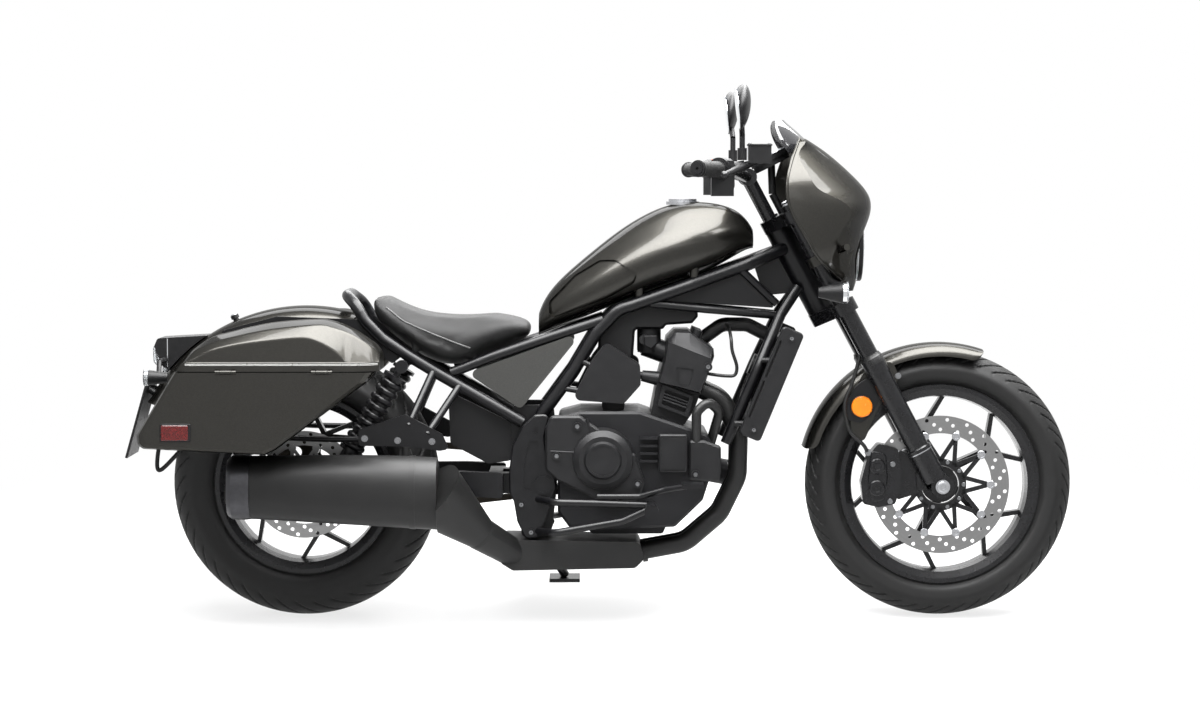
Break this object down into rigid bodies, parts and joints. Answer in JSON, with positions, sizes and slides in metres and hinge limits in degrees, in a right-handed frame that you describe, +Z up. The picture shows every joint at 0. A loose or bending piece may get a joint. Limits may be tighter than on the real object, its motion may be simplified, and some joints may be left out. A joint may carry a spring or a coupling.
{
  "type": "cruiser motorcycle",
  "caption": "Touring cruiser motorcycle with a fork-mounted fairing, hard saddlebags and a parallel-twin engine, leaning on its side stand.",
  "frame": {"origin": "centre of the bounding box's base, on the ground under the bike", "axes": "+X forwards, +Y to the rider's left (the side it leans to), +Z up; the bike is turned 9 degrees about X onto its side stand"},
  "size_m": [2.2656, 0.9274, 1.3061],
  "materials": {
    "frame_black": "satin",
    "paint_bronze": "gloss",
    "engine_dark": "matte",
    "exhaust_black": "matte",
    "machined_alloy": "machined",
    "disc_steel": "brushed",
    "chain_steel": "oiled",
    "fork_black": "satin",
    "seat_vinyl": "matte",
    "tyre_rubber": "matte",
    "moulded_black": "textured",
    "hose_rubber": "matte",
    "smoke_screen": "gloss",
    "lamp_clear": "gloss",
    "lamp_red": "gloss",
    "shroud_grey": "satin"
  },
  "bodies": {
    "chassis": {"frame_main": "frame_black", "frame_rear": "frame_black", "swingarm": "frame_black", "rear_shocks": "frame_black", "rear_fender": "paint_bronze", "tail_lamp": "lamp_red", "rear_signals": "moulded_black", "plate_bracket": "moulded_black", "bag_right": "paint_bronze", "bag_left": "paint_bronze", "bag_stays": "frame_black", "seat": "seat_vinyl", "fuel_tank": "paint_bronze", "fuel_cap": "machined_alloy", "side_covers": "paint_bronze", "frame_covers": "moulded_black", "airbox_covers": "shroud_grey", "airbox": "moulded_black", "crankcase": "engine_dark", "cylinder_head": "engine_dark", "clutch_cover": "engine_dark", "generator_cover": "engine_dark", "radiator": "moulded_black", "radiator_shrouds": "shroud_grey", "coolant_hoses": "hose_rubber", "exhaust": "exhaust_black", "muffler": "exhaust_black", "rear_caliper": "machined_alloy", "footrests": "frame_black", "foot_controls": "frame_black", "drive_chain": "chain_steel"},
    "steering": {"yokes": "fork_black", "fork_legs": "fork_black", "front_axle": "machined_alloy", "handlebar": "fork_black", "handlebar_controls": "moulded_black", "mirrors": "moulded_black", "fairing": "paint_bronze", "windscreen": "smoke_screen", "headlamp": "lamp_clear", "front_signals": "moulded_black", "instrument": "moulded_black", "front_fender": "paint_bronze", "front_caliper": "fork_black"},
    "front_wheel": {"front_tyre": "tyre_rubber", "front_rim": "fork_black", "front_disc": "disc_steel"},
    "rear_wheel": {"rear_tyre": "tyre_rubber", "rear_rim": "fork_black", "rear_disc": "disc_steel", "rear_sprocket": "disc_steel"},
    "side_stand": {"side_stand": "frame_black"},
    "lid_right": {"lid_right": "paint_bronze"},
    "lid_left": {"lid_left": "paint_bronze"}
  },
  "joints": [
    {"name": "steering", "type": "hinge", "parent": "chassis", "child": "steering", "pos_m": [0.76655, -0.08938, 0.29196], "axis": [-0.4695, 0.1381, 0.8721], "range_deg": [-35, 35]},
    {"name": "front_wheel_spin", "type": "hinge", "parent": "steering", "child": "front_wheel", "pos_m": [0.81328, -0.08549, 0.3165], "axis": [0, 0.9877, -0.1564], "continuous": true},
    {"name": "rear_wheel_spin", "type": "hinge", "parent": "chassis", "child": "rear_wheel", "pos_m": [-0.70672, -0.08534, 0.31746], "axis": [0, 0.9877, -0.1564], "continuous": true},
    {"name": "side_stand_swing", "type": "hinge", "parent": "chassis", "child": "side_stand", "pos_m": [-0.14672, 0.06463, 0.13924], "axis": [0, 0.9613, 0.2756], "range_deg": [0, 100]},
    {"name": "lid_right_open", "type": "hinge", "parent": "chassis", "child": "lid_right", "pos_m": [-0.70672, -0.43545, 0.66392], "axis": [1, 0, 0], "range_deg": [0, 75]},
    {"name": "lid_left_open", "type": "hinge", "parent": "chassis", "child": "lid_left", "pos_m": [-0.70672, 0.3547, 0.53878], "axis": [-1, 0, 0], "range_deg": [0, 75]}
  ]
}
